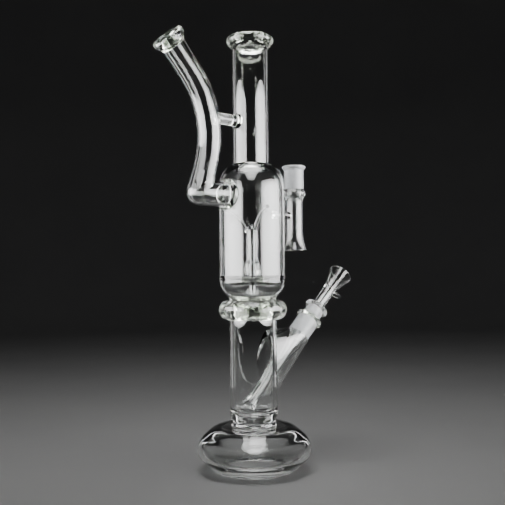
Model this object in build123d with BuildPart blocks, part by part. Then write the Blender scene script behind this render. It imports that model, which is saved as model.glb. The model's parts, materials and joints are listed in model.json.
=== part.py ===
from build123d import *
import os
from math import cos, radians, sin

# A hand-blown clear glass water pipe. A hollow bun-shaped foot carries a straight tube, a solid
# ring, a percolator chamber and a straight neck. An S-bent second mouthpiece leaves the chamber
# on the -X side. On the +X side a slanting arm with a ground joint holds a lift-out bowl, and a
# second ground joint stands beside the chamber as a holder for a spare bowl.
#
# The origin is the middle of the foot where it stands on the table, +Z is up the main axis, and
# every arm lies in the XZ plane. Pieces that are fused together touch face to face.

# ---------------------------------------------------------------------------------------------
# Driving dimensions, in millimetres and degrees
# ---------------------------------------------------------------------------------------------

# Foot: a thick-walled hollow bun, open underneath
FOOT_R = 60.0
FOOT_TOP_Z = 48.8
FOOT_EQUATOR_Z = 23.3
FOOT_TOP_R = 35.0
FOOT_CONTACT_R = 35.5
FOOT_RIM_ROUND = 2.0
FOOT_OPENING_R = 30.0
FOOT_WALL = 6.2

# Lower tube, which holds the water
TUBE_R = 25.0
TUBE_WALL = 4.5
TUBE_TOP_Z = 159.0
TUBE_ROUND_TOP_Z = 60.0
TUBE_WAIST_R = 22.7
TUBE_WAIST_Z = 51.8
TUBE_BASE_R = 24.2
TUBE_FLOOR_Z = 57.0
TUBE_FLOOR_ROUND = 10.0

# Solid ring between the lower tube and the chamber
RING_R = 35.9
RING_MIDDLE_Z = 169.4
RING_TOP_Z = 180.0
RING_BORE_R = 19.5

# Percolator chamber
CHAMBER_R = 35.0
CHAMBER_WALL = 4.0
CONE_FOOT_R = 24.4
CAN_BOTTOM_Z = 200.0
CAN_TOP_Z = 272.0
SHOULDER_ROUND_Z = 296.0

# Straight neck and its lip
NECK_R = 19.0
NECK_BORE_R = 15.5
NECK_BOTTOM_Z = 322.5
NECK_TOP_Z = 443.5
LIP_R = 24.9
LIP_HEIGHT = 13.6
LIP_CROWN_R = 21.0
LIP_BORE_R = 14.4

# Percolator inside the chamber
DISH_RIM_Z = 205.5
DISH_FLOOR_Z = 199.0
DISH_THICK = 3.0
DISH_EDGE_THICK = 4.8
RISER_R = 3.6
RISER_BORE_R = 2.3
RISER_BOTTOM_Z = 186.0
RISER_TOP_Z = 250.0
SLEEVE_R = 6.5
SLEEVE_WALL = 1.5
SLEEVE_TOP_Z = 259.0
SKIRT_TOP_Z = 224.0
SKIRT_SHOULDER_DROP = 6.5
SKIRT_R = 8.3
SKIRT_BOTTOM_Z = 205.0
SKIRT_SLOT_WIDTH = 1.2
SKIRT_SLOT_HEIGHT = 6.0
SKIRT_SLOT_COUNT = 10
STRUT_R = 1.9
STRUT_ROOT_Z = 251.0
STRUT_WALL_Z = 276.0
STRUT_ANGLES = (139.0, 19.0, -101.0)

# Second mouthpiece, on the -X side
ARM_Z = 289.0
ARM_R = 13.5
ARM_BORE_R = 10.0
ELBOW_X = -68.0
COLLAR_R = 16.4
COLLAR_END_X = -39.0
COLLAR_ROUND = 4.0
BENT_R = 12.0
BENT_BORE_R = 9.0
BENT_LEAN = 15.7
BENT_START = 20.0
BENT_RUN = 14.0
BENT_ARC_R = 92.5
BENT_TURN = 57.7
BENT_END_RUN = 28.0
BENT_LIP_R = 16.7
BENT_LIP_HEIGHT = 12.5
BENT_LIP_CROWN_R = 14.0
BENT_LIP_BORE_R = 8.4

# Bridge between the neck and the bent tube
BRIDGE_Z = 366.0
BRIDGE_R = 5.7
NECK_NUB_R = 7.8
NECK_NUB_END_X = -23.0
BENT_NUB_R = 7.2
BENT_NUB_END_X = -42.5
NUB_ROUND = 1.7

# Slanting arm: its axis leans SLANT from the vertical, and lengths are measured along it from
# the mouth of the socket, positive outwards
SLANT = 46.5
MOUTH_X = 85.0
MOUTH_Z = 157.7
JOINT_MOUTH_R = 9.4
JOINT_TAPER = 1 / 20
SOCKET_R = 12.25
SOCKET_LIP_R = 15.0
SOCKET_LIP_LENGTH = 4.6
SOCKET_LENGTH = 28.0
FUNNEL_R = 10.4
FUNNEL_LENGTH = 35.0
STEM_R = 6.2
STEM_BORE_R = 4.2
STEM_END = -127.0
STEM_END_R = 8.0
STEM_FLARE_LENGTH = 10.0
STEM_SLOT_WIDTH = 1.6
STEM_SLOT_LENGTH = 9.0
STEM_SLOT_COUNT = 3
SHROUD_R = 13.4
SHROUD_BORE_R = 11.2
SHROUD_ROOT_X = 14.0
SHROUD_ROOT_TOP_Z = 147.0
SHROUD_ROOT_BOTTOM_Z = 63.0
SHROUD_ROOT_HALF_WIDTH = 16.0
SHROUD_CORE_X = 10.0
SHROUD_CORE_TOP_Z = 138.0
SHROUD_CORE_BOTTOM_Z = 63.5
SHROUD_CORE_HALF_WIDTH = 13.0

# Bowl that lifts out of the socket, with lengths along the same axis
GROUND_CLEARANCE = 0.06
BOWL_JOINT_BOTTOM = -22.0
BOWL_JOINT_TOP = 12.5
BOWL_JOINT_BORE_R = 6.0
BOWL_FLANGE_R = 13.7
BOWL_FLANGE_TOP = 17.0
BOWL_STEM_R = 7.0
BOWL_STEM_BORE_R = 4.0
BOWL_STEM_TOP = 44.0
BOWL_RIM = 71.0
BOWL_RIM_R = 14.3
BOWL_RIM_ROUND = 1.0
BOWL_WALL = 2.4
BOWL_HOLE_R = 2.5
BOWL_CUP_FLOOR = 48.0
HORN_FROM = 43.0
HORN_LEAN = 22.0
HORN_ROOT_R = 4.2
HORN_TIP_R = 2.2
HORN_LENGTH = 19.0

# Spare-bowl holder beside the chamber, on the +X side
HOLDER_X = 62.4
HOLDER_TOP_Z = 326.4
HOLDER_LIP_R = 12.9
HOLDER_LIP_WIDEST_Z = 324.3
HOLDER_LIP_BOTTOM_Z = 320.8
HOLDER_JOINT_R = 10.7
HOLDER_JOINT_BOTTOM_Z = 300.4
HOLDER_BULGE_R = 12.7
HOLDER_BULGE_Z = 295.8
HOLDER_BULGE_BOTTOM_Z = 288.0
HOLDER_TUBE_R = 9.5
HOLDER_TUBE_BORE_R = 7.2
HOLDER_BELL_TOP_Z = 253.5
HOLDER_BELL_BOTTOM_Z = 232.6
HOLDER_BELL_R = 13.6
BELL_RIM_ROUND = 0.75
HOLDER_BRIDGE_Z = 271.0
HOLDER_BRIDGE_R = 4.5

# ---------------------------------------------------------------------------------------------
# Values worked out from them
# ---------------------------------------------------------------------------------------------

TUBE_BORE_R = TUBE_R - TUBE_WALL
CHAMBER_BORE_R = CHAMBER_R - CHAMBER_WALL
SHOULDER_RISE = NECK_BOTTOM_Z - SHOULDER_ROUND_Z
SHOULDER_BORE_RISE = SHOULDER_RISE - CHAMBER_WALL

slant_out = Vector(sin(radians(SLANT)), 0, cos(radians(SLANT)))
slant_side = Vector(cos(radians(SLANT)), 0, -sin(radians(SLANT)))
mouth = Vector(MOUTH_X, 0, MOUTH_Z)
slant_axis = Axis(mouth, slant_out)
# In this plane x is the distance from the slanting axis and y is the length along it
slant_plane = Plane(origin=mouth, x_dir=slant_side, z_dir=(0, -1, 0))

bent_up = Vector(sin(radians(BENT_LEAN)), 0, cos(radians(BENT_LEAN)))
elbow_middle = Vector(ELBOW_X, 0, ARM_Z)
bent_foot = elbow_middle + bent_up * BENT_START
bent_knee = bent_foot + bent_up * BENT_RUN

# Cones stand on the middle of their base
FROM_BASE = (Align.CENTER, Align.CENTER, Align.MIN)


def slant_section(length):
    """The plane across the slanting arm at a length along it, facing outwards."""
    return Plane(origin=mouth + slant_out * length, x_dir=slant_side, z_dir=slant_out)


def ground_r(length):
    """Radius of the ground socket at a length from its mouth."""
    return JOINT_MOUTH_R + length * JOINT_TAPER


def lip_profile(tube_r, bore_r, widest_r, crown_r, mouth_r, height):
    """Half section of a flared, fire-polished lip that stands on a tube's end at y = 0."""
    with BuildSketch() as section:
        with BuildLine():
            Spline(
                (tube_r, 0),
                (widest_r, height * 0.6),
                (crown_r, height * 0.98),
                tangents=((0.55, 1), (-1, 0.12)),
            )
            Spline(
                (crown_r, height * 0.98),
                ((crown_r + mouth_r) / 2, height),
                (mouth_r, height * 0.72),
                tangents=((-1, 0.12), (-0.1, -1)),
            )
            Spline((mouth_r, height * 0.72), (bore_r, 0), tangents=((0, -1), (0.05, -1)))
            Line((bore_r, 0), (tube_r, 0))
        make_face()
    return section.sketch


def ellipse_between(plane, half_width, top_z, bottom_z):
    """An upright ellipse on a plane across X, between two heights."""
    middle_z = (top_z + bottom_z) / 2
    with BuildSketch(plane) as section:
        with Locations((0, middle_z)):
            Ellipse(half_width, (top_z - bottom_z) / 2)
    return section.sketch


# ---------------------------------------------------------------------------------------------
# Foot, lower tube and ring
# ---------------------------------------------------------------------------------------------

FOOT_CAVITY_R = FOOT_R - FOOT_WALL
FOOT_CAVITY_TOP_R = FOOT_TOP_R - FOOT_WALL / 2
FOOT_CAVITY_TOP_Z = FOOT_TOP_Z - FOOT_WALL
FOOT_CONTACT_BORE_R = FOOT_OPENING_R + FOOT_RIM_ROUND

# The flat top, which the tube stands on
with BuildPart() as foot_top:
    with BuildSketch(Plane.XZ):
        with BuildLine():
            Polyline(
                (0, FOOT_TOP_Z),
                (FOOT_TOP_R, FOOT_TOP_Z),
                (FOOT_CAVITY_TOP_R, FOOT_CAVITY_TOP_Z),
                (0, FOOT_CAVITY_TOP_Z),
                close=True,
            )
        make_face()
    revolve(axis=Axis.Z)

# The wall from the flat top down to the widest place
with BuildPart() as foot_shoulder:
    with BuildSketch(Plane.XZ):
        with BuildLine():
            Spline(
                (FOOT_R, FOOT_EQUATOR_Z),
                (FOOT_R * 0.843, FOOT_TOP_Z * 0.824),
                (FOOT_TOP_R, FOOT_TOP_Z),
                tangents=((0, 1), (-1, 0.1)),
            )
            Line((FOOT_TOP_R, FOOT_TOP_Z), (FOOT_CAVITY_TOP_R, FOOT_CAVITY_TOP_Z))
            Spline(
                (FOOT_CAVITY_TOP_R, FOOT_CAVITY_TOP_Z),
                (FOOT_R * 0.76, FOOT_CAVITY_TOP_Z * 0.83),
                (FOOT_CAVITY_R, FOOT_EQUATOR_Z),
                tangents=((1, -0.05), (0, -1)),
            )
            Line((FOOT_CAVITY_R, FOOT_EQUATOR_Z), (FOOT_R, FOOT_EQUATOR_Z))
        make_face()
    revolve(axis=Axis.Z)

# The wall from the widest place down to the ring that touches the table
with BuildPart() as foot_skirt:
    with BuildSketch(Plane.XZ):
        with BuildLine():
            Spline(
                (FOOT_CONTACT_R, 0),
                (FOOT_R * 0.852, FOOT_EQUATOR_Z * 0.395),
                (FOOT_R, FOOT_EQUATOR_Z),
                tangents=((1, 0.1), (0, 1)),
            )
            Line((FOOT_R, FOOT_EQUATOR_Z), (FOOT_CAVITY_R, FOOT_EQUATOR_Z))
            Spline(
                (FOOT_CAVITY_R, FOOT_EQUATOR_Z),
                (FOOT_R * 0.76, FOOT_EQUATOR_Z * 0.56),
                (FOOT_OPENING_R, FOOT_WALL),
                tangents=((0, -1), (-1, -0.12)),
            )
            Line((FOOT_OPENING_R, FOOT_WALL), (FOOT_OPENING_R, FOOT_RIM_ROUND))
            RadiusArc((FOOT_OPENING_R, FOOT_RIM_ROUND), (FOOT_CONTACT_BORE_R, 0), -FOOT_RIM_ROUND)
            Line((FOOT_CONTACT_BORE_R, 0), (FOOT_CONTACT_R, 0))
        make_face()
    revolve(axis=Axis.Z)

# The oval hole where the slanting arm opens into the lower tube, and the arm's own hollow
with BuildPart() as shroud_core:
    with BuildSketch(slant_section(-SOCKET_LENGTH)):
        Circle(SHROUD_BORE_R)
    add(
        ellipse_between(
            Plane.YZ.offset(SHROUD_CORE_X),
            SHROUD_CORE_HALF_WIDTH,
            SHROUD_CORE_TOP_Z,
            SHROUD_CORE_BOTTOM_Z,
        )
    )
    loft()

with BuildPart() as lower_tube:
    with BuildSketch(Plane.XZ):
        with BuildLine():
            Line((0, FOOT_TOP_Z), (TUBE_BASE_R, FOOT_TOP_Z))
            Spline(
                (TUBE_BASE_R, FOOT_TOP_Z),
                (TUBE_WAIST_R, TUBE_WAIST_Z),
                (TUBE_R, TUBE_ROUND_TOP_Z),
                tangents=((-1, 1), (0, 1)),
            )
            Polyline(
                (TUBE_R, TUBE_ROUND_TOP_Z),
                (TUBE_R, TUBE_TOP_Z),
                (TUBE_BORE_R, TUBE_TOP_Z),
                (TUBE_BORE_R, TUBE_FLOOR_Z + TUBE_FLOOR_ROUND),
            )
            EllipticalCenterArc(
                (0, TUBE_FLOOR_Z + TUBE_FLOOR_ROUND),
                TUBE_BORE_R,
                TUBE_FLOOR_ROUND,
                start_angle=270,
                arc_size=90,
            )
            Line((0, TUBE_FLOOR_Z), (0, FOOT_TOP_Z))
        make_face()
    revolve(axis=Axis.Z)
    add(shroud_core.part, mode=Mode.SUBTRACT)

with BuildPart() as maria_ring:
    with BuildSketch(Plane.XZ):
        with BuildLine():
            ThreePointArc((TUBE_R, TUBE_TOP_Z), (RING_R, RING_MIDDLE_Z), (CONE_FOOT_R, RING_TOP_Z))
            Polyline(
                (CONE_FOOT_R, RING_TOP_Z),
                (RING_BORE_R, RING_TOP_Z),
                (RING_BORE_R, TUBE_TOP_Z),
                (TUBE_R, TUBE_TOP_Z),
            )
        make_face()
    revolve(axis=Axis.Z)

# ---------------------------------------------------------------------------------------------
# Chamber, neck and lip
# ---------------------------------------------------------------------------------------------

with BuildPart() as chamber_cone:
    with BuildSketch(Plane.XZ):
        with BuildLine():
            Spline(
                (CONE_FOOT_R, RING_TOP_Z),
                (CHAMBER_R, CAN_BOTTOM_Z),
                tangents=((0.55, 1), (0, 1)),
            )
            Line((CHAMBER_R, CAN_BOTTOM_Z), (CHAMBER_BORE_R, CAN_BOTTOM_Z))
            Spline(
                (CHAMBER_BORE_R, CAN_BOTTOM_Z),
                (RING_BORE_R, RING_TOP_Z),
                tangents=((0, -1), (-0.6, -1)),
            )
            Line((RING_BORE_R, RING_TOP_Z), (CONE_FOOT_R, RING_TOP_Z))
        make_face()
    revolve(axis=Axis.Z)

with BuildPart() as chamber_can:
    with BuildSketch(Plane.XY.offset(CAN_BOTTOM_Z)):
        Circle(CHAMBER_R)
        Circle(CHAMBER_BORE_R, mode=Mode.SUBTRACT)
    extrude(amount=CAN_TOP_Z - CAN_BOTTOM_Z)

# The solid body inside the shoulder's outer skin, which shapes the collar that sits on it
with BuildPart() as shoulder_body:
    with BuildSketch(Plane.XZ):
        with BuildLine():
            Polyline(
                (0, NECK_BOTTOM_Z),
                (0, CAN_TOP_Z),
                (CHAMBER_R, CAN_TOP_Z),
                (CHAMBER_R, SHOULDER_ROUND_Z),
            )
            EllipticalCenterArc(
                (NECK_R, SHOULDER_ROUND_Z),
                CHAMBER_R - NECK_R,
                SHOULDER_RISE,
                start_angle=0,
                arc_size=90,
            )
            Line((NECK_R, NECK_BOTTOM_Z), (0, NECK_BOTTOM_Z))
        make_face()
    revolve(axis=Axis.Z)

with BuildPart() as chamber_shoulder:
    add(shoulder_body.part)
    with BuildSketch(Plane.XZ):
        with BuildLine():
            Polyline(
                (NECK_BORE_R, NECK_BOTTOM_Z),
                (0, NECK_BOTTOM_Z),
                (0, CAN_TOP_Z),
                (CHAMBER_BORE_R, CAN_TOP_Z),
                (CHAMBER_BORE_R, SHOULDER_ROUND_Z),
            )
            EllipticalCenterArc(
                (NECK_BORE_R, SHOULDER_ROUND_Z),
                CHAMBER_BORE_R - NECK_BORE_R,
                SHOULDER_BORE_RISE,
                start_angle=0,
                arc_size=90,
            )
            Line((NECK_BORE_R, NECK_BOTTOM_Z - CHAMBER_WALL), (NECK_BORE_R, NECK_BOTTOM_Z))
        make_face()
    revolve(axis=Axis.Z, mode=Mode.SUBTRACT)
    with BuildSketch(Plane.YZ.offset(-CHAMBER_R - 1)):
        with Locations((0, ARM_Z)):
            Circle(ARM_BORE_R)
    extrude(amount=CHAMBER_R, mode=Mode.SUBTRACT)

with BuildPart() as neck_tube:
    with BuildSketch(Plane.XY.offset(NECK_BOTTOM_Z)):
        Circle(NECK_R)
        Circle(NECK_BORE_R, mode=Mode.SUBTRACT)
    extrude(amount=NECK_TOP_Z - NECK_BOTTOM_Z)

with BuildPart() as neck_lip:
    with BuildSketch(Plane(origin=(0, 0, NECK_TOP_Z), x_dir=(1, 0, 0), z_dir=(0, -1, 0))):
        add(lip_profile(NECK_R, NECK_BORE_R, LIP_R, LIP_CROWN_R, LIP_BORE_R, LIP_HEIGHT))
    revolve(axis=Axis.Z)

# ---------------------------------------------------------------------------------------------
# Percolator: a dish closes the chamber's floor, a riser passes through it, and a slotted sleeve
# turned over the riser sends the smoke down through the water. Three struts steady the sleeve.
# ---------------------------------------------------------------------------------------------

with BuildPart() as perc_dish:
    with BuildSketch(Plane.XZ):
        with BuildLine():
            Spline((0, DISH_FLOOR_Z), (CHAMBER_BORE_R, DISH_RIM_Z), tangents=((1, 0), (0.35, 1)))
            Line((CHAMBER_BORE_R, DISH_RIM_Z), (CHAMBER_BORE_R, DISH_RIM_Z - DISH_EDGE_THICK))
            Spline(
                (CHAMBER_BORE_R, DISH_RIM_Z - DISH_EDGE_THICK),
                (0, DISH_FLOOR_Z - DISH_THICK),
                tangents=((-0.45, -1), (-1, 0)),
            )
            Line((0, DISH_FLOOR_Z - DISH_THICK), (0, DISH_FLOOR_Z))
        make_face()
    revolve(axis=Axis.Z)
    with BuildSketch(Plane.XY.offset(RISER_BOTTOM_Z)):
        Circle(RISER_R)
    extrude(until=Until.LAST, mode=Mode.SUBTRACT)

with BuildPart() as perc_riser:
    with BuildSketch(Plane.XY.offset(RISER_BOTTOM_Z)):
        Circle(RISER_R)
        Circle(RISER_BORE_R, mode=Mode.SUBTRACT)
    extrude(amount=RISER_TOP_Z - RISER_BOTTOM_Z)

SLEEVE_BORE_R = SLEEVE_R - SLEEVE_WALL
SLEEVE_DOME_Z = SLEEVE_TOP_Z - SLEEVE_R
SKIRT_BORE_R = SKIRT_R - SLEEVE_WALL
SKIRT_SHOULDER_Z = SKIRT_TOP_Z - SKIRT_SHOULDER_DROP

with BuildPart() as perc_sleeve:
    with BuildSketch(Plane.XZ):
        with BuildLine():
            RadiusArc((0, SLEEVE_TOP_Z), (SLEEVE_R, SLEEVE_DOME_Z), SLEEVE_R)
            Line((SLEEVE_R, SLEEVE_DOME_Z), (SLEEVE_R, SKIRT_TOP_Z))
            Spline(
                (SLEEVE_R, SKIRT_TOP_Z),
                (SKIRT_R, SKIRT_SHOULDER_Z),
                (SKIRT_R, SKIRT_BOTTOM_Z),
                tangents=((0, -1), (0, -1)),
            )
            Line((SKIRT_R, SKIRT_BOTTOM_Z), (SKIRT_BORE_R, SKIRT_BOTTOM_Z))
            Spline(
                (SKIRT_BORE_R, SKIRT_BOTTOM_Z),
                (SKIRT_BORE_R, SKIRT_SHOULDER_Z),
                (SLEEVE_BORE_R, SKIRT_TOP_Z),
                tangents=((0, 1), (0, 1)),
            )
            Line((SLEEVE_BORE_R, SKIRT_TOP_Z), (SLEEVE_BORE_R, SLEEVE_DOME_Z))
            RadiusArc((SLEEVE_BORE_R, SLEEVE_DOME_Z), (0, SLEEVE_TOP_Z - SLEEVE_WALL), -SLEEVE_BORE_R)
            Line((0, SLEEVE_TOP_Z - SLEEVE_WALL), (0, SLEEVE_TOP_Z))
        make_face()
    revolve(axis=Axis.Z)
    with BuildSketch(Plane.XY.offset(SKIRT_BOTTOM_Z)):
        with PolarLocations(SKIRT_R - SLEEVE_WALL / 2, SKIRT_SLOT_COUNT):
            Rectangle(3 * SLEEVE_WALL, SKIRT_SLOT_WIDTH)
    extrude(amount=SKIRT_SLOT_HEIGHT, mode=Mode.SUBTRACT)

with BuildPart() as perc_struts:
    for angle in STRUT_ANGLES:
        outwards = Vector(cos(radians(angle)), sin(radians(angle)), 0)
        root = outwards * SLEEVE_BORE_R + Vector(0, 0, STRUT_ROOT_Z)
        tip = outwards * (CHAMBER_BORE_R + 1) + Vector(0, 0, STRUT_WALL_Z)
        with BuildLine() as strut_path:
            strut_arc = TangentArc(root, tip, tangent=(outwards.X * 0.35, outwards.Y * 0.35, 1))
        with BuildSketch(Plane(origin=root, z_dir=strut_arc % 0)):
            Circle(STRUT_R)
        sweep(path=strut_path.line)
    with BuildSketch(Plane.XY.offset(SKIRT_TOP_Z)):
        Circle(SLEEVE_R)
    extrude(amount=SLEEVE_DOME_Z - SKIRT_TOP_Z, mode=Mode.SUBTRACT)
    with Locations((0, 0, SLEEVE_DOME_Z)):
        Sphere(SLEEVE_R, mode=Mode.SUBTRACT)
    with BuildSketch(Plane.XY.offset(SLEEVE_DOME_Z)):
        Circle(CHAMBER_R)
        Circle(CHAMBER_BORE_R, mode=Mode.SUBTRACT)
    extrude(amount=SHOULDER_ROUND_Z - SLEEVE_DOME_Z, mode=Mode.SUBTRACT)

# ---------------------------------------------------------------------------------------------
# Second mouthpiece: collar, elbow, bent tube and lip, with its bridge to the neck
# ---------------------------------------------------------------------------------------------

with BuildPart() as elbow_collar:
    with BuildSketch(Plane.YZ.offset(COLLAR_END_X)):
        with Locations((0, ARM_Z)):
            Circle(COLLAR_R)
    extrude(amount=CHAMBER_R / 2)
    fillet(elbow_collar.edges().group_by(Axis.X)[0], radius=COLLAR_ROUND)
    add(shoulder_body.part, mode=Mode.SUBTRACT)
    with BuildSketch(Plane.YZ.offset(COLLAR_END_X)):
        with Locations((0, ARM_Z)):
            Circle(ARM_BORE_R)
    extrude(amount=CHAMBER_R, mode=Mode.SUBTRACT)

with BuildPart() as elbow:
    with BuildSketch(Plane.YZ.offset(ELBOW_X)):
        with Locations((0, ARM_Z)):
            Circle(ARM_R)
    extrude(amount=COLLAR_END_X - ELBOW_X)
    with Locations(elbow_middle):
        Sphere(ARM_R)
    with Locations(Plane(origin=elbow_middle, z_dir=bent_up)):
        Cone(ARM_R, BENT_R, BENT_START, align=FROM_BASE)
        Cone(ARM_BORE_R, BENT_BORE_R, BENT_START, align=FROM_BASE, mode=Mode.SUBTRACT)
    with Locations(elbow_middle):
        Sphere(ARM_BORE_R, mode=Mode.SUBTRACT)
    with BuildSketch(Plane.YZ.offset(ELBOW_X)):
        with Locations((0, ARM_Z)):
            Circle(ARM_BORE_R)
    extrude(amount=COLLAR_END_X - ELBOW_X, mode=Mode.SUBTRACT)

with BuildLine(Plane.XZ) as bent_path:
    low_run = Line((bent_foot.X, bent_foot.Z), (bent_knee.X, bent_knee.Z))
    bend = JernArc(start=low_run @ 1, tangent=low_run % 1, radius=BENT_ARC_R, arc_size=BENT_TURN)
    high_run = Line(bend @ 1, bend @ 1 + (bend % 1) * BENT_END_RUN)

bent_start_plane = Plane(origin=bent_foot, z_dir=bent_up)
bent_end = bent_path.line @ 1
bent_out = bent_path.line % 1

with BuildPart() as bent_tube:
    with BuildSketch(bent_start_plane):
        Circle(BENT_R)
        Circle(BENT_BORE_R, mode=Mode.SUBTRACT)
    sweep(path=bent_path.line)

# In this plane x is the distance from the mouthpiece's axis and y is the length along it
bent_lip_plane = Plane(origin=bent_end, x_dir=bent_out.cross(Vector(0, -1, 0)), z_dir=(0, -1, 0))

with BuildPart() as bent_lip:
    with BuildSketch(bent_lip_plane):
        add(
            lip_profile(
                BENT_R,
                BENT_BORE_R,
                BENT_LIP_R,
                BENT_LIP_CROWN_R,
                BENT_LIP_BORE_R,
                BENT_LIP_HEIGHT,
            )
        )
    revolve(axis=Axis(bent_end, bent_out))

with BuildPart() as neck_nub:
    with BuildSketch(Plane.YZ.offset(NECK_NUB_END_X)):
        with Locations((0, BRIDGE_Z)):
            Circle(NECK_NUB_R)
    extrude(amount=NECK_R / 2)
    fillet(neck_nub.edges().group_by(Axis.X)[0], radius=NUB_ROUND)
    with BuildSketch(Plane.XY.offset(BRIDGE_Z - 2 * NECK_NUB_R)):
        Circle(NECK_R)
    extrude(amount=4 * NECK_NUB_R, mode=Mode.SUBTRACT)

with BuildPart() as bridge_rod:
    with BuildSketch(Plane.YZ.offset(BENT_NUB_END_X)):
        with Locations((0, BRIDGE_Z)):
            Circle(BRIDGE_R)
    extrude(amount=NECK_NUB_END_X - BENT_NUB_END_X)

with BuildPart() as bent_nub:
    with BuildSketch(Plane.YZ.offset(BENT_NUB_END_X)):
        with Locations((0, BRIDGE_Z)):
            Circle(BENT_NUB_R)
    extrude(amount=-BENT_NUB_R)
    fillet(bent_nub.edges().group_by(Axis.X)[-1], radius=NUB_ROUND)
    with BuildSketch(bent_start_plane):
        Circle(BENT_R)
    sweep(path=bent_path.line, mode=Mode.SUBTRACT)

# ---------------------------------------------------------------------------------------------
# Slanting arm: shroud, downstem, ground socket and its lip
# ---------------------------------------------------------------------------------------------

with BuildPart() as arm_shroud:
    with BuildSketch(slant_section(-SOCKET_LENGTH)):
        Circle(SHROUD_R)
    add(
        ellipse_between(
            Plane.YZ.offset(SHROUD_ROOT_X),
            SHROUD_ROOT_HALF_WIDTH,
            SHROUD_ROOT_TOP_Z,
            SHROUD_ROOT_BOTTOM_Z,
        )
    )
    loft()
    add(shroud_core.part, mode=Mode.SUBTRACT)
    with BuildSketch(Plane.XY):
        Circle(TUBE_R)
    extrude(amount=TUBE_TOP_Z, mode=Mode.SUBTRACT)

FUNNEL_END = -SOCKET_LENGTH - FUNNEL_LENGTH
SOCKET_END_BORE_R = ground_r(-SOCKET_LENGTH)
STEM_WALL = STEM_R - STEM_BORE_R
STEM_FLARE_START = STEM_END + STEM_FLARE_LENGTH

with BuildPart() as downstem:
    with BuildSketch(slant_plane):
        with BuildLine():
            Spline((FUNNEL_R, -SOCKET_LENGTH), (STEM_R, FUNNEL_END), tangents=((0, -1), (0, -1)))
            Line((STEM_R, FUNNEL_END), (STEM_R, STEM_FLARE_START))
            Spline(
                (STEM_R, STEM_FLARE_START),
                (STEM_END_R, STEM_END),
                tangents=((0, -1), (0.5, -1)),
            )
            Line((STEM_END_R, STEM_END), (STEM_END_R - STEM_WALL, STEM_END))
            Spline(
                (STEM_END_R - STEM_WALL, STEM_END),
                (STEM_BORE_R, STEM_FLARE_START),
                tangents=((-0.5, 1), (0, 1)),
            )
            Line((STEM_BORE_R, STEM_FLARE_START), (STEM_BORE_R, FUNNEL_END))
            Spline(
                (STEM_BORE_R, FUNNEL_END),
                (SOCKET_END_BORE_R, -SOCKET_LENGTH),
                tangents=((0, 1), (0, 1)),
            )
            Line((SOCKET_END_BORE_R, -SOCKET_LENGTH), (FUNNEL_R, -SOCKET_LENGTH))
        make_face()
    revolve(axis=slant_axis)
    with BuildSketch(slant_section(STEM_END)):
        with PolarLocations(0, STEM_SLOT_COUNT, angular_range=180, endpoint=False):
            Rectangle(4 * STEM_END_R, STEM_SLOT_WIDTH)
    extrude(amount=STEM_SLOT_LENGTH, mode=Mode.SUBTRACT)

with BuildPart() as ground_socket:
    with BuildSketch(slant_plane):
        with BuildLine():
            Polyline(
                (ground_r(-SOCKET_LIP_LENGTH), -SOCKET_LIP_LENGTH),
                (SOCKET_R, -SOCKET_LIP_LENGTH),
                (SOCKET_R, -SOCKET_LENGTH),
                (SOCKET_END_BORE_R, -SOCKET_LENGTH),
                close=True,
            )
        make_face()
    revolve(axis=slant_axis)

with BuildPart() as socket_lip:
    with BuildSketch(slant_plane):
        with BuildLine():
            Line((ground_r(-SOCKET_LIP_LENGTH), -SOCKET_LIP_LENGTH), (SOCKET_R, -SOCKET_LIP_LENGTH))
            Spline(
                (SOCKET_R, -SOCKET_LIP_LENGTH),
                (SOCKET_LIP_R, -SOCKET_LIP_LENGTH * 0.45),
                (SOCKET_R, 0),
                tangents=((1, 0.35), (-1, 0.1)),
            )
            Polyline(
                (SOCKET_R, 0),
                (JOINT_MOUTH_R, 0),
                (ground_r(-SOCKET_LIP_LENGTH), -SOCKET_LIP_LENGTH),
            )
        make_face()
    revolve(axis=slant_axis)

# ---------------------------------------------------------------------------------------------
# Bowl: ground cone, flange, stem, cup and a horn to lift it by
# ---------------------------------------------------------------------------------------------

BOWL_RIM_LOW = BOWL_RIM - BOWL_RIM_ROUND


def plug_r(length):
    """Radius of the bowl's ground cone at a length from the socket's mouth."""
    return ground_r(length) - GROUND_CLEARANCE


def bowl_side():
    """Outer side of the cup, from the stem to where the rim is rounded, in the slant's plane."""
    return Spline(
        (BOWL_STEM_R, BOWL_STEM_TOP),
        (BOWL_RIM_R, BOWL_RIM_LOW),
        tangents=((0.15, 1), (0.32, 1)),
    )


with BuildPart() as bowl_joint:
    with BuildSketch(slant_plane):
        with BuildLine():
            Polyline(
                (BOWL_JOINT_BORE_R, BOWL_JOINT_BOTTOM),
                (plug_r(BOWL_JOINT_BOTTOM), BOWL_JOINT_BOTTOM),
                (plug_r(BOWL_JOINT_TOP), BOWL_JOINT_TOP),
                (BOWL_JOINT_BORE_R, BOWL_JOINT_TOP),
                close=True,
            )
        make_face()
    revolve(axis=slant_axis)

with BuildPart() as bowl_flange:
    with BuildSketch(slant_plane):
        with BuildLine():
            Line((BOWL_STEM_BORE_R, BOWL_JOINT_TOP), (plug_r(BOWL_JOINT_TOP), BOWL_JOINT_TOP))
            Spline(
                (plug_r(BOWL_JOINT_TOP), BOWL_JOINT_TOP),
                (BOWL_FLANGE_R, (BOWL_JOINT_TOP + BOWL_FLANGE_TOP) / 2),
                (BOWL_STEM_R, BOWL_FLANGE_TOP),
                tangents=((1, 0.1), (-1, 0.4)),
            )
            Polyline(
                (BOWL_STEM_R, BOWL_FLANGE_TOP),
                (BOWL_STEM_BORE_R, BOWL_FLANGE_TOP),
                (BOWL_STEM_BORE_R, BOWL_JOINT_TOP),
            )
        make_face()
    revolve(axis=slant_axis)

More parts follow.
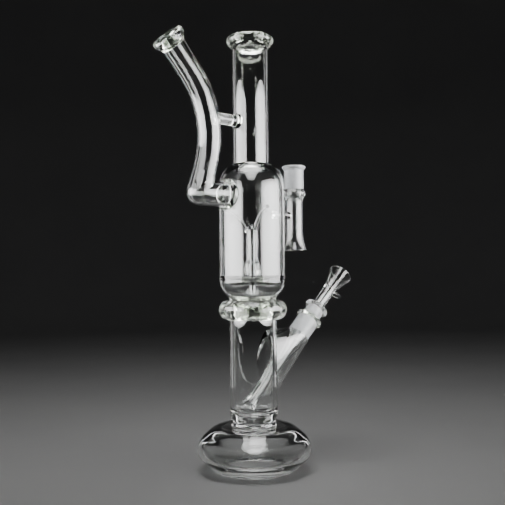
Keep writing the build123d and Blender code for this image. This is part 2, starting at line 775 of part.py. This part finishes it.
with BuildPart() as bowl_stem:
    with BuildSketch(slant_section(BOWL_FLANGE_TOP)):
        Circle(BOWL_STEM_R)
        Circle(BOWL_STEM_BORE_R, mode=Mode.SUBTRACT)
    extrude(amount=BOWL_STEM_TOP - BOWL_FLANGE_TOP)

with BuildPart() as bowl_cup:
    with BuildSketch(slant_plane):
        with BuildLine():
            Line((BOWL_HOLE_R, BOWL_STEM_TOP), (BOWL_STEM_R, BOWL_STEM_TOP))
            bowl_side()
            ThreePointArc(
                (BOWL_RIM_R, BOWL_RIM_LOW),
                (BOWL_RIM_R - BOWL_WALL / 2, BOWL_RIM),
                (BOWL_RIM_R - BOWL_WALL, BOWL_RIM_LOW),
            )
            Spline(
                (BOWL_RIM_R - BOWL_WALL, BOWL_RIM_LOW),
                (BOWL_HOLE_R, BOWL_CUP_FLOOR),
                tangents=((-0.32, -1), (-0.7, -1)),
            )
            Line((BOWL_HOLE_R, BOWL_CUP_FLOOR), (BOWL_HOLE_R, BOWL_STEM_TOP))
        make_face()
    revolve(axis=slant_axis)

horn_out = slant_side.rotate(Axis.Y, -HORN_LEAN)

with BuildPart() as bowl_horn:
    with Locations(Plane(origin=mouth + slant_out * HORN_FROM, z_dir=horn_out)):
        Cone(HORN_ROOT_R, HORN_TIP_R, HORN_LENGTH, align=FROM_BASE)
    with Locations(mouth + slant_out * HORN_FROM + horn_out * HORN_LENGTH):
        Sphere(HORN_TIP_R)
    with BuildSketch(slant_section(BOWL_FLANGE_TOP)):
        Circle(BOWL_STEM_R)
    extrude(amount=BOWL_STEM_TOP - BOWL_FLANGE_TOP, mode=Mode.SUBTRACT)
    with BuildSketch(slant_plane):
        with BuildLine():
            Polyline((0, BOWL_RIM_LOW), (0, BOWL_STEM_TOP), (BOWL_STEM_R, BOWL_STEM_TOP))
            bowl_side()
            Line((BOWL_RIM_R, BOWL_RIM_LOW), (0, BOWL_RIM_LOW))
        make_face()
    revolve(axis=slant_axis, mode=Mode.SUBTRACT)

# ---------------------------------------------------------------------------------------------
# Spare-bowl holder: a second ground socket on a short tube with a bell, bridged to the chamber
# ---------------------------------------------------------------------------------------------

holder_axis = Axis((HOLDER_X, 0, 0), (0, 0, 1))
holder_plane = Plane(origin=(HOLDER_X, 0, 0), x_dir=(1, 0, 0), z_dir=(0, -1, 0))


def holder_r(height):
    """Radius of the holder's ground socket at a height."""
    return ground_r(height - HOLDER_TOP_Z)


with BuildPart() as holder_lip:
    with BuildSketch(holder_plane):
        with BuildLine():
            Line(
                (holder_r(HOLDER_LIP_BOTTOM_Z), HOLDER_LIP_BOTTOM_Z),
                (HOLDER_JOINT_R, HOLDER_LIP_BOTTOM_Z),
            )
            Spline(
                (HOLDER_JOINT_R, HOLDER_LIP_BOTTOM_Z),
                (HOLDER_LIP_R, HOLDER_LIP_WIDEST_Z),
                (HOLDER_JOINT_R, HOLDER_TOP_Z),
                tangents=((0.3, 1), (-1, 0.05)),
            )
            Polyline(
                (HOLDER_JOINT_R, HOLDER_TOP_Z),
                (JOINT_MOUTH_R, HOLDER_TOP_Z),
                (holder_r(HOLDER_LIP_BOTTOM_Z), HOLDER_LIP_BOTTOM_Z),
            )
        make_face()
    revolve(axis=holder_axis)

with BuildPart() as holder_socket:
    with BuildSketch(holder_plane):
        with BuildLine():
            Polyline(
                (holder_r(HOLDER_LIP_BOTTOM_Z), HOLDER_LIP_BOTTOM_Z),
                (HOLDER_JOINT_R, HOLDER_LIP_BOTTOM_Z),
                (HOLDER_JOINT_R, HOLDER_JOINT_BOTTOM_Z),
                (holder_r(HOLDER_JOINT_BOTTOM_Z), HOLDER_JOINT_BOTTOM_Z),
                close=True,
            )
        make_face()
    revolve(axis=holder_axis)

with BuildPart() as holder_bulge:
    with BuildSketch(holder_plane):
        with BuildLine():
            Line(
                (holder_r(HOLDER_JOINT_BOTTOM_Z), HOLDER_JOINT_BOTTOM_Z),
                (HOLDER_JOINT_R, HOLDER_JOINT_BOTTOM_Z),
            )
            Spline(
                (HOLDER_JOINT_R, HOLDER_JOINT_BOTTOM_Z),
                (HOLDER_BULGE_R, HOLDER_BULGE_Z),
                (HOLDER_TUBE_R, HOLDER_BULGE_BOTTOM_Z),
                tangents=((0.6, -1), (-0.25, -1)),
            )
            Polyline(
                (HOLDER_TUBE_R, HOLDER_BULGE_BOTTOM_Z),
                (HOLDER_TUBE_BORE_R, HOLDER_BULGE_BOTTOM_Z),
                (holder_r(HOLDER_JOINT_BOTTOM_Z), HOLDER_JOINT_BOTTOM_Z),
            )
        make_face()
    revolve(axis=holder_axis)

with BuildPart() as holder_tube:
    with BuildSketch(Plane.XY.offset(HOLDER_BELL_TOP_Z)):
        with Locations((HOLDER_X, 0)):
            Circle(HOLDER_TUBE_R)
            Circle(HOLDER_TUBE_BORE_R, mode=Mode.SUBTRACT)
    extrude(amount=HOLDER_BULGE_BOTTOM_Z - HOLDER_BELL_TOP_Z)

HOLDER_WALL = HOLDER_TUBE_R - HOLDER_TUBE_BORE_R
BELL_BORE_R = HOLDER_BELL_R - HOLDER_WALL

with BuildPart() as holder_bell:
    with BuildSketch(holder_plane):
        with BuildLine():
            Spline(
                (HOLDER_TUBE_R, HOLDER_BELL_TOP_Z),
                (HOLDER_BELL_R, HOLDER_BELL_BOTTOM_Z),
                tangents=((0, -1), (0.35, -1)),
            )
            Line((HOLDER_BELL_R, HOLDER_BELL_BOTTOM_Z), (BELL_BORE_R, HOLDER_BELL_BOTTOM_Z))
            Spline(
                (BELL_BORE_R, HOLDER_BELL_BOTTOM_Z),
                (HOLDER_TUBE_BORE_R, HOLDER_BELL_TOP_Z),
                tangents=((-0.35, 1), (0, 1)),
            )
            Line((HOLDER_TUBE_BORE_R, HOLDER_BELL_TOP_Z), (HOLDER_TUBE_R, HOLDER_BELL_TOP_Z))
        make_face()
    revolve(axis=holder_axis)
    fillet(holder_bell.edges().group_by(Axis.Z)[0], radius=BELL_RIM_ROUND)

with BuildPart() as holder_bridge:
    with BuildSketch(Plane.YZ.offset(CHAMBER_R / 2)):
        with Locations((0, HOLDER_BRIDGE_Z)):
            Circle(HOLDER_BRIDGE_R)
    extrude(amount=HOLDER_X - CHAMBER_R / 2)
    with BuildSketch(Plane.XY.offset(HOLDER_BRIDGE_Z - 2 * HOLDER_BRIDGE_R)):
        Circle(CHAMBER_R)
        with Locations((HOLDER_X, 0)):
            Circle(HOLDER_TUBE_R)
    extrude(amount=4 * HOLDER_BRIDGE_R, mode=Mode.SUBTRACT)

# ---------------------------------------------------------------------------------------------
# One file for each piece
# ---------------------------------------------------------------------------------------------

pieces = {
    "foot_top": foot_top,
    "foot_shoulder": foot_shoulder,
    "foot_skirt": foot_skirt,
    "lower_tube": lower_tube,
    "maria_ring": maria_ring,
    "chamber_cone": chamber_cone,
    "chamber_can": chamber_can,
    "chamber_shoulder": chamber_shoulder,
    "neck_tube": neck_tube,
    "neck_lip": neck_lip,
    "perc_dish": perc_dish,
    "perc_riser": perc_riser,
    "perc_sleeve": perc_sleeve,
    "perc_struts": perc_struts,
    "elbow_collar": elbow_collar,
    "elbow": elbow,
    "bent_tube": bent_tube,
    "bent_lip": bent_lip,
    "neck_nub": neck_nub,
    "bridge_rod": bridge_rod,
    "bent_nub": bent_nub,
    "arm_shroud": arm_shroud,
    "downstem": downstem,
    "ground_socket": ground_socket,
    "socket_lip": socket_lip,
    "holder_lip": holder_lip,
    "holder_socket": holder_socket,
    "holder_bulge": holder_bulge,
    "holder_tube": holder_tube,
    "holder_bell": holder_bell,
    "holder_bridge": holder_bridge,
    "bowl_joint": bowl_joint,
    "bowl_flange": bowl_flange,
    "bowl_stem": bowl_stem,
    "bowl_cup": bowl_cup,
    "bowl_horn": bowl_horn,
}

os.makedirs("parts", exist_ok=True)
for name, piece in pieces.items():
    piece.part.label = name
    export_step(piece.part, f"parts/{name}.step")
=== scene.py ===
import json
import math

import bmesh
import bpy
import numpy as np
from mathutils import Matrix, Vector
from mathutils.bvhtree import BVHTree


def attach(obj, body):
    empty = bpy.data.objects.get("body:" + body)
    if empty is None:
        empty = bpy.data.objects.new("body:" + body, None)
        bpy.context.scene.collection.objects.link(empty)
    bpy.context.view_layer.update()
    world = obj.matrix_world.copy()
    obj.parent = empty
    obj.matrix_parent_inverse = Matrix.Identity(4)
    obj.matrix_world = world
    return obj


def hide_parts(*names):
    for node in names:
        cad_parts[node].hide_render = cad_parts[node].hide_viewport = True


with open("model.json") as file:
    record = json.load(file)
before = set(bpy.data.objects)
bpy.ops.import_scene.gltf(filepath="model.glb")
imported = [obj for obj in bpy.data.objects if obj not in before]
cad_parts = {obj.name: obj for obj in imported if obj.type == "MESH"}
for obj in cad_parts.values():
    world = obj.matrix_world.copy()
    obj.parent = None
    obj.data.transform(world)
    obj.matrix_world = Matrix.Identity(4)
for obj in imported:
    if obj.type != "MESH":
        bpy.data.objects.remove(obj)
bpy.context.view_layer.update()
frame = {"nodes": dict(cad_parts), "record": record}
record = frame["record"]
slot_of = {s["node"]: s["material_slot"] for s in record["subparts"]}

# ---------------------------------------------------------------------------
# Node helpers
# ---------------------------------------------------------------------------

TINT_START = 0.35  # noise at which a tint is its first colour
TINT_END = 0.65  # noise at which it is its second


def new_material(name):
    """A material with an empty tree but for its output and one Principled shader."""
    material = bpy.data.materials.new(name)
    material.use_nodes = True
    tree = material.node_tree
    tree.nodes.clear()
    output = tree.nodes.new("ShaderNodeOutputMaterial")
    shader = tree.nodes.new("ShaderNodeBsdfPrincipled")
    tree.links.new(shader.outputs["BSDF"], output.inputs["Surface"])
    return material, tree, shader


def noise(tree, scale, detail=2.0, stretch=(1.0, 1.0, 1.0), roughness=0.5):
    """Noise in object coordinates, stretched by dividing the scale along each axis."""
    where = tree.nodes.new("ShaderNodeTexCoord")
    mapping = tree.nodes.new("ShaderNodeMapping")
    mapping.inputs["Scale"].default_value = [1.0 / s for s in stretch]
    made = tree.nodes.new("ShaderNodeTexNoise")
    made.inputs["Scale"].default_value = scale
    made.inputs["Detail"].default_value = detail
    made.inputs["Roughness"].default_value = roughness
    tree.links.new(where.outputs["Object"], mapping.inputs["Vector"])
    tree.links.new(mapping.outputs["Vector"], made.inputs["Vector"])
    return made.outputs["Fac"]


def ranged(tree, value, low, high, start=0.0, end=1.0):
    """Maps a value from start..end to low..high."""
    made = tree.nodes.new("ShaderNodeMapRange")
    made.inputs["From Min"].default_value = start
    made.inputs["From Max"].default_value = end
    made.inputs["To Min"].default_value = low
    made.inputs["To Max"].default_value = high
    tree.links.new(value, made.inputs["Value"])
    return made.outputs["Result"]


def maths(tree, operation, first, second):
    """A Math node on a value and a second value or number."""
    made = tree.nodes.new("ShaderNodeMath")
    made.operation = operation
    tree.links.new(first, made.inputs[0])
    if isinstance(second, float):
        made.inputs[1].default_value = second
    else:
        tree.links.new(second, made.inputs[1])
    return made.outputs["Value"]


def tinted(tree, value, first, second):
    """A colour between two, by a value."""
    made = tree.nodes.new("ShaderNodeValToRGB")
    made.color_ramp.elements[0].position = TINT_START
    made.color_ramp.elements[0].color = (*first, 1.0)
    made.color_ramp.elements[1].position = TINT_END
    made.color_ramp.elements[1].color = (*second, 1.0)
    tree.links.new(value, made.inputs["Fac"])
    return made.outputs["Color"]


def bumps(tree, shader, *layers):
    """Chains bump nodes, one for each (height, distance in metres)."""
    below = None
    for height, distance in layers:
        made = tree.nodes.new("ShaderNodeBump")
        made.inputs["Strength"].default_value = 1.0
        made.inputs["Distance"].default_value = distance
        tree.links.new(height, made.inputs["Height"])
        if below is not None:
            tree.links.new(below, made.inputs["Normal"])
        below = made.outputs["Normal"]
    tree.links.new(below, shader.inputs["Normal"])


# ---------------------------------------------------------------------------
# Materials
# ---------------------------------------------------------------------------

GLASS_IOR = 1.474


def clear_glass():
    """Blown borosilicate: faint draw lines along the height, slow ripples, a trace of haze."""
    material, tree, shader = new_material("clear_glass")
    shader.inputs["IOR"].default_value = GLASS_IOR
    shader.inputs["Transmission Weight"].default_value = 1.0
    tree.links.new(
        tinted(tree, noise(tree, 14.0), (0.975, 0.988, 0.98), (0.99, 0.995, 0.992)),
        shader.inputs["Base Color"],
    )
    haze = noise(tree, 45.0, 4.0, (1.0, 1.0, 2.0), 0.6)
    tree.links.new(ranged(tree, haze, 0.0, 0.035, 0.45, 0.8), shader.inputs["Roughness"])
    lines = noise(tree, 110.0, 1.0, (1.0, 1.0, 22.0))
    ripples = noise(tree, 26.0, 1.5, (1.0, 1.0, 2.5))
    bumps(tree, shader, (lines, 0.00005), (ripples, 0.00022))
    return material


def thick_glass():
    """Solid worked glass: a faint yellow-green tint and the soft waves of the flame."""
    material, tree, shader = new_material("thick_glass")
    shader.inputs["IOR"].default_value = GLASS_IOR
    shader.inputs["Transmission Weight"].default_value = 1.0
    tree.links.new(
        tinted(tree, noise(tree, 30.0), (0.86, 0.94, 0.80), (0.94, 0.98, 0.91)),
        shader.inputs["Base Color"],
    )
    haze = noise(tree, 60.0, 3.0)
    tree.links.new(ranged(tree, haze, 0.0, 0.03, 0.4, 0.8), shader.inputs["Roughness"])
    waves = noise(tree, 190.0, 1.5)
    swirl = noise(tree, 24.0, 1.0)
    bumps(tree, shader, (waves, 0.0009), (swirl, 0.0014))
    return material


def ground_glass():
    """Ground joint: white frosted glass with a fine grain."""
    material, tree, shader = new_material("ground_glass")
    shader.inputs["IOR"].default_value = GLASS_IOR
    shader.inputs["Transmission Weight"].default_value = 0.9
    tree.links.new(
        tinted(tree, noise(tree, 160.0, 3.0), (0.80, 0.82, 0.84), (0.92, 0.93, 0.94)),
        shader.inputs["Base Color"],
    )
    grain = noise(tree, 5200.0, 3.0, roughness=0.7)
    blotches = noise(tree, 260.0, 3.0)
    tree.links.new(ranged(tree, blotches, 0.42, 0.6), shader.inputs["Roughness"])
    bumps(tree, shader, (blotches, 0.00004), (grain, 0.00005))
    return material


def pale_floor():
    """Matte pale paper sweep."""
    material, tree, shader = new_material("pale_floor")
    tree.links.new(
        tinted(tree, noise(tree, 3.0, 3.0), (0.66, 0.66, 0.66), (0.70, 0.70, 0.695)),
        shader.inputs["Base Color"],
    )
    tree.links.new(ranged(tree, noise(tree, 60.0), 0.75, 0.9), shader.inputs["Roughness"])
    bumps(tree, shader, (noise(tree, 900.0, 2.0), 0.00003))
    return material


looks = {
    "clear_glass": clear_glass(),
    "thick_glass": thick_glass(),
    "ground_glass": ground_glass(),
}

# ---------------------------------------------------------------------------
# Glass pieces. The real pipe is one piece of glass, so light passes a weld with no surface in
# the way. The nodes of a body are joined into one skin, which is cut into a piece for each node
# again, open where it meets its neighbours. Each piece takes its smooth normals from its node.
# ---------------------------------------------------------------------------

GROW = 1e-5  # metres: how far neighbours are grown into each other before they are joined
SHARPEST = 4.0  # times GROW: the most that a point on a sharp edge moves
SAME = 2e-7  # metres: how near two points are one point
CRUMB = 400  # faces: a shell smaller than this is a sliver left between two curved faces
NUDGE = 5e-5  # metres: how far a corner is moved into its face before its normal is looked up
NUDGE_SHARE = 0.3  # of the way to the face's centre: the most that a corner is moved
AGREES = 0.6  # cosine: a normal that leans further from its face's own is another face's
TINY = 1e-9  # keeps a division by a length from failing
TINY_SQUARED = 1e-30  # the same for the square of an area


def positions(mesh):
    """The points of a mesh, one row each."""
    flat = np.empty(len(mesh.vertices) * 3, np.float32)
    mesh.vertices.foreach_get("co", flat)
    return flat.reshape(-1, 3)


def grown(node, index, materials):
    """A closed copy of a node, grown by GROW, and its points before and after."""
    cage = bmesh.new()
    cage.from_mesh(node.data)
    bmesh.ops.remove_doubles(cage, verts=cage.verts, dist=SAME)
    cage.normal_update()
    before = np.array([v.co for v in cage.verts], np.float32)
    moves = [v.normal * (GROW * min(v.calc_shell_factor(), SHARPEST)) for v in cage.verts]
    for vertex, move in zip(cage.verts, moves):
        vertex.co += move
    mesh = bpy.data.meshes.new(node.name + "_grown")
    cage.to_mesh(mesh)
    cage.free()
    mesh.materials.clear()
    for material in materials:
        mesh.materials.append(material)
    mesh.polygons.foreach_set("material_index", [index] * len(mesh.polygons))
    return mesh, before, positions(mesh)


def as_keys(points):
    """One sortable key for each point."""
    return np.ascontiguousarray(points).view([("", np.float32)] * 3).ravel()


def joined(names):
    """The mesh of several nodes joined into one skin, back at its true size."""
    marks = [bpy.data.materials.new("mark_" + n) for n in names]
    made = [grown(frame["nodes"][n], i, marks) for i, n in enumerate(names)]
    others = bpy.data.collections.new("others")
    bpy.context.scene.collection.children.link(others)
    objects = [bpy.data.objects.new(n + "_grown", m[0]) for n, m in zip(names, made)]
    bpy.context.scene.collection.objects.link(objects[0])
    for other in objects[1:]:
        others.objects.link(other)
    join = objects[0].modifiers.new("join", "BOOLEAN")
    join.operation = "UNION"
    join.solver = "MANIFOLD"
    join.operand_type = "COLLECTION"
    join.collection = others
    graph = bpy.context.evaluated_depsgraph_get()
    skin = bpy.data.meshes.new_from_object(objects[0].evaluated_get(graph))
    for copy in objects:
        bpy.data.objects.remove(copy)
    bpy.data.collections.remove(others)

    before = np.concatenate([m[1] for m in made])
    after = np.concatenate([m[2] for m in made])
    keys = as_keys(after)
    order = np.argsort(keys)
    now = positions(skin)
    found = np.searchsorted(keys[order], as_keys(now))
    found = order[np.minimum(found, len(order) - 1)]
    kept = keys[found] == as_keys(now)
    now[kept] = before[found[kept]]
    skin.vertices.foreach_set("co", now.ravel())
    return skin


def without_crumbs(skin):
    """Takes away the small closed shells that a join leaves between two curved faces."""
    cage = bmesh.new()
    cage.from_mesh(skin)
    cage.faces.ensure_lookup_table()
    seen = bytearray(len(cage.faces))
    crumbs = []
    for first in cage.faces:
        if seen[first.index]:
            continue
        seen[first.index] = 1
        shell, todo = [first], [first]
        while todo:
            for edge in todo.pop().edges:
                for face in edge.link_faces:
                    if not seen[face.index]:
                        seen[face.index] = 1
                        shell.append(face)
                        todo.append(face)
        if len(shell) < CRUMB:
            crumbs.extend(shell)
    bmesh.ops.delete(cage, geom=crumbs, context="FACES")
    cage.to_mesh(skin)
    cage.free()


def smooth_normals(node, corners, centres, facings):
    """The node's own surface normal at each corner, found just inside the corner's face."""
    mesh = node.data
    mesh.calc_loop_triangles()
    count = len(mesh.loop_triangles)
    triangles = np.empty(count * 3, np.int32)
    loops = np.empty(count * 3, np.int32)
    mesh.loop_triangles.foreach_get("vertices", triangles)
    mesh.loop_triangles.foreach_get("loops", loops)
    triangles, loops = triangles.reshape(-1, 3), loops.reshape(-1, 3)
    points = positions(mesh).astype(np.float64)
    normals = np.empty(len(mesh.loops) * 3, np.float32)
    mesh.corner_normals.foreach_get("vector", normals)
    normals = normals.reshape(-1, 3)
    tree = BVHTree.FromPolygons(points.tolist(), triangles.tolist())

    inwards = centres - corners
    length = np.linalg.norm(inwards, axis=1, keepdims=True)
    spots = corners + inwards * np.minimum(NUDGE / np.maximum(length, TINY), NUDGE_SHARE)
    hit = np.empty(len(spots), np.int64)
    at = np.empty((len(spots), 3))
    for i, spot in enumerate(spots.tolist()):
        at[i], _, hit[i], _ = tree.find_nearest(spot)

    # Each place as shares u, v and w of its triangle's corners a, b and c.
    a, b, c = (points[triangles[hit, k]] for k in range(3))
    ab, ac, ap = b - a, c - a, at - a
    d00, d01, d11 = ((x * y).sum(1) for x, y in ((ab, ab), (ab, ac), (ac, ac)))
    d20, d21 = (ap * ab).sum(1), (ap * ac).sum(1)
    squared = np.maximum(d00 * d11 - d01 * d01, TINY_SQUARED)
    v = np.clip((d11 * d20 - d01 * d21) / squared, 0, 1)
    w = np.clip((d00 * d21 - d01 * d20) / squared, 0, 1)
    u = np.clip(1 - v - w, 0, 1)
    made = sum(normals[loops[hit, k]] * x[:, None] for k, x in enumerate((u, v, w)))
    made /= np.maximum(np.linalg.norm(made, axis=1, keepdims=True), TINY)
    stray = (made * facings).sum(1) < AGREES
    made[stray] = facings[stray]
    return made


def cut_up(skin, names, body):
    """One open piece for each node from the joined skin."""
    count = len(skin.polygons)
    owner = np.empty(count, np.int32)
    starts = np.empty(count, np.int32)
    totals = np.empty(count, np.int32)
    facing = np.empty(count * 3, np.float32)
    centre = np.empty(count * 3, np.float32)
    corner_vertex = np.empty(len(skin.loops), np.int32)
    skin.polygons.foreach_get("material_index", owner)
    skin.polygons.foreach_get("loop_start", starts)
    skin.polygons.foreach_get("loop_total", totals)
    skin.polygons.foreach_get("normal", facing)
    skin.polygons.foreach_get("center", centre)
    skin.loops.foreach_get("vertex_index", corner_vertex)
    facing, centre = facing.reshape(-1, 3), centre.reshape(-1, 3)
    points = positions(skin)
    made = []
    for index, name in enumerate(names):
        mine = np.nonzero(owner == index)[0]
        loops = np.concatenate([np.arange(starts[f], starts[f] + totals[f]) for f in mine])
        face_of = np.repeat(mine, totals[mine])
        used, local = np.unique(corner_vertex[loops], return_inverse=True)
        ends = np.cumsum(totals[mine])
        faces = [local[e - t : e].tolist() for e, t in zip(ends, totals[mine])]
        mesh = bpy.data.meshes.new("glass_" + name)
        mesh.from_pydata(points[used].tolist(), [], faces)
        mesh.polygons.foreach_set("use_smooth", [True] * len(faces))
        normals = smooth_normals(
            frame["nodes"][name],
            points[corner_vertex[loops]].astype(np.float64),
            centre[face_of].astype(np.float64),
            facing[face_of],
        )
        mesh.normals_split_custom_set(normals.tolist())
        piece = bpy.data.objects.new("glass_" + name, mesh)
        bpy.context.scene.collection.objects.link(piece)
        mesh.materials.append(looks[slot_of[name]])
        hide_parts(name)
        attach(piece, body)
        made.append(piece)
    return made


lit_glass = bpy.data.collections.new("lit_glass")  # all of it
thick_pieces = bpy.data.collections.new("thick_pieces")
thin_pieces = bpy.data.collections.new("thin_pieces")  # the rest, but for the foot
for body, members in record["behaviour"]["bodies"].items():
    whole = joined(members)
    without_crumbs(whole)
    for piece in cut_up(whole, members, body):
        lit_glass.objects.link(piece)
        if piece.data.materials[0] == looks["thick_glass"]:
            thick_pieces.objects.link(piece)
        elif not piece.name.startswith("glass_foot"):
            thin_pieces.objects.link(piece)
for mark in [m for m in bpy.data.materials if m.name.startswith("mark_")]:
    bpy.data.materials.remove(mark)

# ---------------------------------------------------------------------------
# Camera
# ---------------------------------------------------------------------------

CAMERA_AZIMUTH = -41.0  # degrees
CAMERA_DISTANCE = 0.802  # metres from the axis
CAMERA_HEIGHT = 0.204  # metres
SENSOR = 36.0  # millimetres wide
FOCAL_LENGTH = 54.2  # millimetres
LENS_RISE = 0.0485  # of the frame's width: the level lens is shifted up
ROLL = 0.68  # degrees: the top leans to the left

towards_camera = Vector(
    (math.sin(math.radians(CAMERA_AZIMUTH)), -math.cos(math.radians(CAMERA_AZIMUTH)), 0.0)
)
to_right = Vector((-towards_camera.y, towards_camera.x, 0.0))

lens = bpy.data.cameras.new("camera")
lens.sensor_width = SENSOR
lens.lens = FOCAL_LENGTH
camera = bpy.data.objects.new("camera", lens)
bpy.context.scene.collection.objects.link(camera)
camera.location = towards_camera * CAMERA_DISTANCE + Vector((0, 0, CAMERA_HEIGHT))
lens.shift_y = LENS_RISE
level = (-towards_camera).to_track_quat("-Z", "Y").to_matrix().to_4x4()
camera.matrix_world = (
    Matrix.Translation(camera.location) @ level @ Matrix.Rotation(math.radians(-ROLL), 4, "Z")
)
bpy.context.scene.camera = camera

# ---------------------------------------------------------------------------
# Floor
# ---------------------------------------------------------------------------

FLOOR_RINGS = (0.15, 0.4, 0.9, 1.5)  # metres: radii on the flat part
FLAT_RADIUS = 2.2  # metres: where the sweep starts to curve up
CURVE_RADIUS = 0.9  # metres
CURVE_STEPS = 12
SWEEP_TOP = 3.4  # metres: the top of its wall
FLOOR_SIDES = 96


def sweep_floor():
    """A round paper sweep: flat round the object, then curving up to a wall far away."""
    outline = [(radius, 0.0) for radius in FLOOR_RINGS]
    for i in range(CURVE_STEPS + 1):
        turn = math.pi / 2 * i / CURVE_STEPS
        rise = CURVE_RADIUS * (1 - math.cos(turn))
        outline.append((FLAT_RADIUS + CURVE_RADIUS * math.sin(turn), rise))
    outline.append((FLAT_RADIUS + CURVE_RADIUS, SWEEP_TOP))
    turns = [2 * math.pi * k / FLOOR_SIDES for k in range(FLOOR_SIDES)]
    cage = bmesh.new()
    rings = [
        [cage.verts.new((r * math.cos(t), r * math.sin(t), z)) for t in turns] for r, z in outline
    ]
    cage.faces.new(rings[0])
    for inner, outer in zip(rings, rings[1:]):
        for k in range(FLOOR_SIDES):
            n = (k + 1) % FLOOR_SIDES
            cage.faces.new((inner[k], outer[k], outer[n], inner[n]))
    mesh = bpy.data.meshes.new("floor")
    cage.to_mesh(mesh)
    cage.free()
    mesh.polygons.foreach_set("use_smooth", [True] * len(mesh.polygons))
    mesh.materials.append(pale_floor())
    floor = bpy.data.objects.new("floor", mesh)
    bpy.context.scene.collection.objects.link(floor)
    return floor


# ---------------------------------------------------------------------------
# Light: the soft boxes light the glass only, and one more over the object lights the paper. All
# lengths are in metres, and turns are in degrees from the camera's side.
# ---------------------------------------------------------------------------

CORE_GLOW = 1.35  # times a box's radiance, in its middle
EDGE_GLOW = 0.55  # times a box's radiance, towards its corners
CORE_REACH = 0.05  # of a side's length, from the middle: where the glow starts to fall
EDGE_REACH = 0.6  # where it stops falling
FIRST_BOUNCE = 0.5  # tells no bounce from one or more
BOX_TURN = 72.0
BOX_DISTANCE = 0.62
BOX_WIDTH = 0.90
BOX_LOW = 0.113
BOX_HIGH = 0.565
BOX_RADIANCE = 22.0
RIM_TURN = 146.0
RIM_WIDTH = 0.026
RIM_LOW = 0.0
RIM_HIGH = 0.66
RIM_RADIANCE = 5.0
THIN_SEEN = 0.03  # how much of a side box is seen straight through thin glass
THICK_SEEN = 0.3  # and through thick glass
WORLD_COLOUR = (0.006, 0.006, 0.0065, 1.0)


def diffused(light, seen_through):
    """
    Gives a soft box the glow of a lamp behind its cloth: bright in the middle, less at the sides.
    Seen straight through glass, with no reflection on the way, it is dimmed to seen_through.
    """
    light.use_nodes = True
    tree = light.node_tree
    emission = tree.nodes["Emission"]
    where = tree.nodes.new("ShaderNodeNewGeometry")
    middle = tree.nodes.new("ShaderNodeMapping")
    middle.inputs["Location"].default_value = (-0.5, -0.5, 0.0)
    distance = tree.nodes.new("ShaderNodeVectorMath")
    distance.operation = "LENGTH"
    tree.links.new(where.outputs["Parametric"], middle.inputs["Vector"])
    tree.links.new(middle.outputs["Vector"], distance.inputs[0])
    glow = ranged(
        tree, distance.outputs["Value"], CORE_GLOW, EDGE_GLOW, CORE_REACH, EDGE_REACH
    )
    path = tree.nodes.new("ShaderNodeLightPath")
    straight = maths(tree, "LESS_THAN", path.outputs["Glossy Depth"], FIRST_BOUNCE)
    refracted = maths(tree, "GREATER_THAN", path.outputs["Transmission Depth"], FIRST_BOUNCE)
    through = maths(tree, "MULTIPLY", straight, refracted)
    dimmed = ranged(tree, through, 1.0, seen_through)
    tree.links.new(maths(tree, "MULTIPLY", glow, dimmed), emission.inputs["Strength"])


def area_light(name, width, length, radiance, receivers, seen_through):
    """A rectangular soft box that lights only what is in one collection, and isn't seen itself."""
    light = bpy.data.lights.new(name, "AREA")
    light.shape = "RECTANGLE"
    light.size = width
    light.size_y = length
    light.energy = radiance * math.pi * width * length
    diffused(light, seen_through)
    box = bpy.data.objects.new(name, light)
    bpy.context.scene.collection.objects.link(box)
    box.rotation_mode = "QUATERNION"
    box.visible_camera = False
    box.light_linking.receiver_collection = receivers
    return box


def upright(name, turn, width, low, high, radiance, receivers, seen_through):
    """A soft box that stands and faces the axis, turned from the camera's side."""
    turn = math.radians(turn)
    outwards = towards_camera * math.cos(turn) + to_right * math.sin(turn)
    box = area_light(name, width, high - low, radiance, receivers, seen_through)
    box.location = outwards * BOX_DISTANCE + Vector((0, 0, (low + high) / 2))
    box.rotation_quaternion = (-outwards).to_track_quat("-Z", "Y")


def overhead(name, forward, height, width, depth, radiance, receivers, seen_through):
    """A level soft box over the object, its middle moved towards the camera."""
    box = area_light(name, width, depth, radiance, receivers, seen_through)
    box.location = towards_camera * forward + Vector((0, 0, height))
    box.rotation_quaternion = Matrix.Rotation(
        math.radians(CAMERA_AZIMUTH), 3, "Z"
    ).to_quaternion()


paper = bpy.data.collections.new("paper")
paper.objects.link(sweep_floor())
side_boxes = (("_box", thin_pieces, THIN_SEEN), ("_thick_box", thick_pieces, THICK_SEEN))
for side, name in ((-1, "left"), (1, "right")):
    for kind, receivers, seen_through in side_boxes:
        upright(
            name + kind,
            turn=side * BOX_TURN,
            width=BOX_WIDTH,
            low=BOX_LOW,
            high=BOX_HIGH,
            radiance=BOX_RADIANCE,
            receivers=receivers,
            seen_through=seen_through,
        )
    upright(
        name + "_rim",
        turn=side * RIM_TURN,
        width=RIM_WIDTH,
        low=RIM_LOW,
        high=RIM_HIGH,
        radiance=RIM_RADIANCE,
        receivers=lit_glass,
        seen_through=1.0,
    )
overhead(
    "top_box",
    forward=0.55,
    height=1.0,
    width=0.52,
    depth=1.45,
    radiance=14.0,
    receivers=lit_glass,
    seen_through=0.1,
)
overhead(
    "floor_box",
    forward=0.1,
    height=1.1,
    width=0.6,
    depth=0.6,
    radiance=3.4,
    receivers=paper,
    seen_through=1.0,
)

world = bpy.data.worlds.new("world")
world.use_nodes = True
world.node_tree.nodes["Background"].inputs["Color"].default_value = WORLD_COLOUR
world.node_tree.nodes["Background"].inputs["Strength"].default_value = 1.0
bpy.context.scene.world = world
